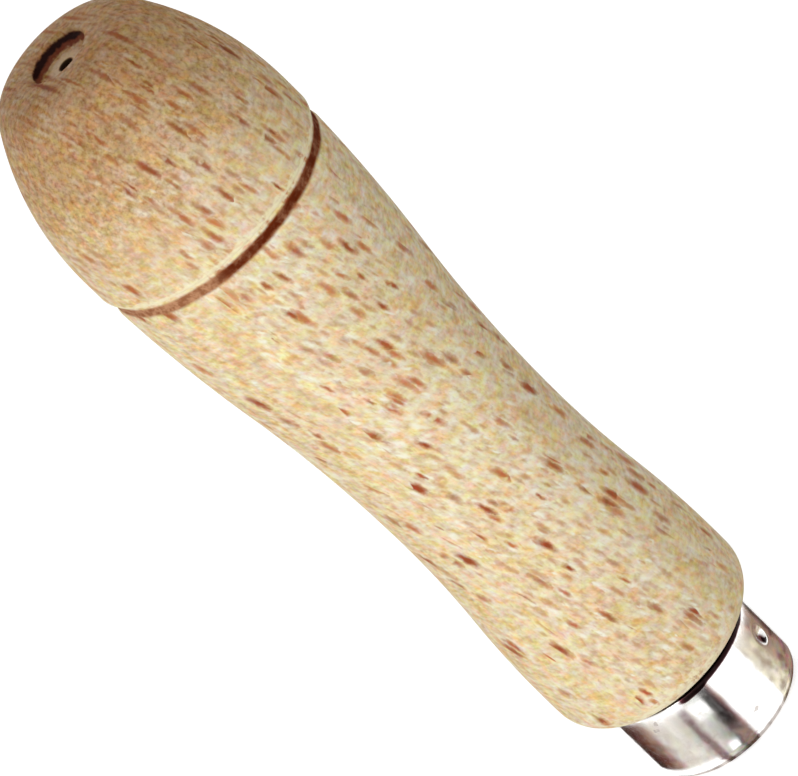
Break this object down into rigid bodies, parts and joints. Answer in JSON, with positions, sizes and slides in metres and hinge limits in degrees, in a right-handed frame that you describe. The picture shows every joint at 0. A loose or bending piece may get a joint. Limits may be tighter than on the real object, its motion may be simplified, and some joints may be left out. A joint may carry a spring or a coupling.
{
  "type": "file handle",
  "caption": "Turned wooden file handle with a domed butt, waisted grip, stepped tang hole and drawn steel ferrule held by punch marks.",
  "frame": {"origin": "on the axis, in the plane of the ferrule's front face, which the handle stands on", "axes": "+Z along the handle's axis, from the ferrule to the domed butt; the first punch mark lies 31 degrees from +X towards -Y"},
  "size_m": [0.0317, 0.0316, 0.12],
  "materials": {
    "beech": "fine sanded and lightly oiled steamed beech, with short darker ray flecks along the grain and a darkened groove",
    "plated_steel": "bright plated drawn sheet steel with fine wear"
  },
  "bodies": {
    "root": {"handle": "beech", "ferrule": "plated_steel"}
  },
  "joints": []
}
